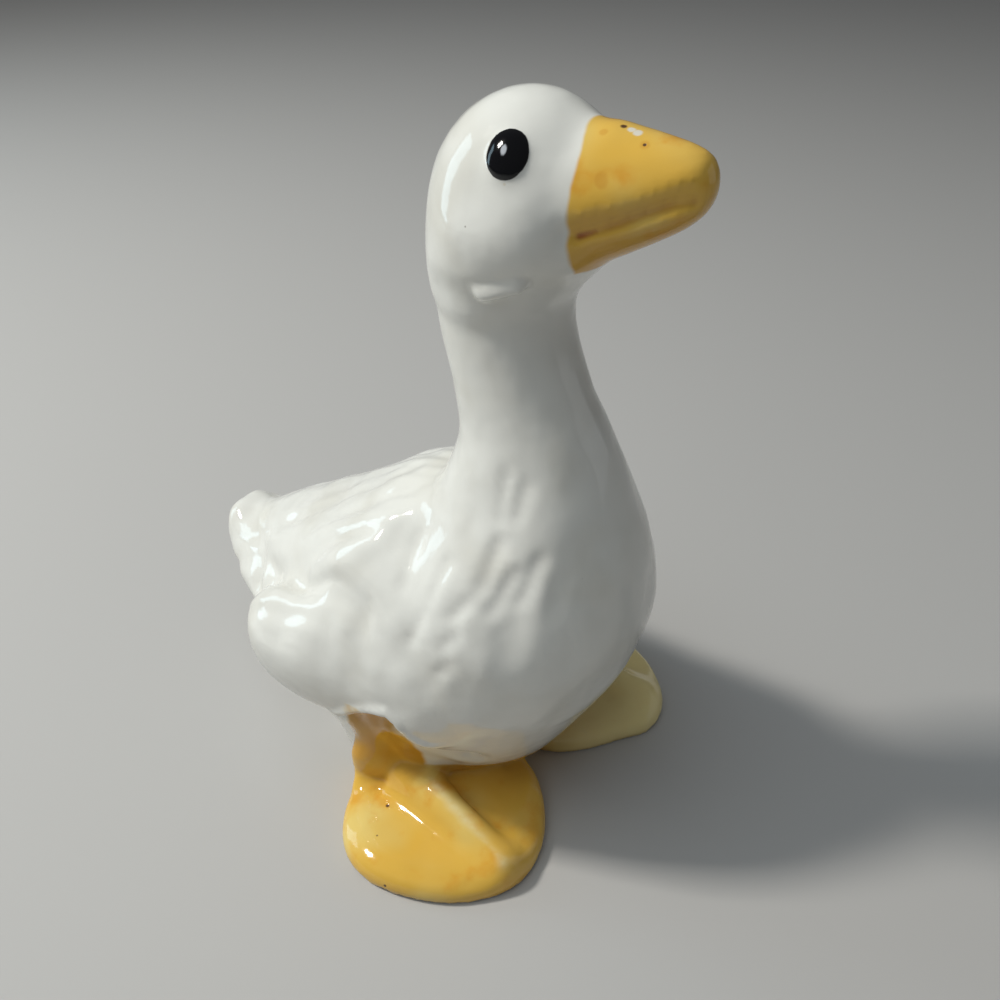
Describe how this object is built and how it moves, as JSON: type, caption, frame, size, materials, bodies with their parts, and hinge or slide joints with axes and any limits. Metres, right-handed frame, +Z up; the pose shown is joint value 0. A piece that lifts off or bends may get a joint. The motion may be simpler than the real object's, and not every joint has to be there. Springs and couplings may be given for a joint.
{
  "type": "ceramic duck figurine",
  "caption": "Standing duck figurine, slip-cast in one hollow piece, white glazed body with yellow bill and webbed feet, flat underside with a round pour hole.",
  "frame": {"origin": "on the ground, under the middle of the outline", "axes": "+Z up, the duck looks along -Y, +X on its left"},
  "size_m": [0.111, 0.138, 0.178],
  "materials": {
    "white_glaze": "glossy clear glaze over bone-white, yellow and black underglaze colours"
  },
  "bodies": {
    "root": {"duck_figurine": "white_glaze"}
  },
  "joints": []
}
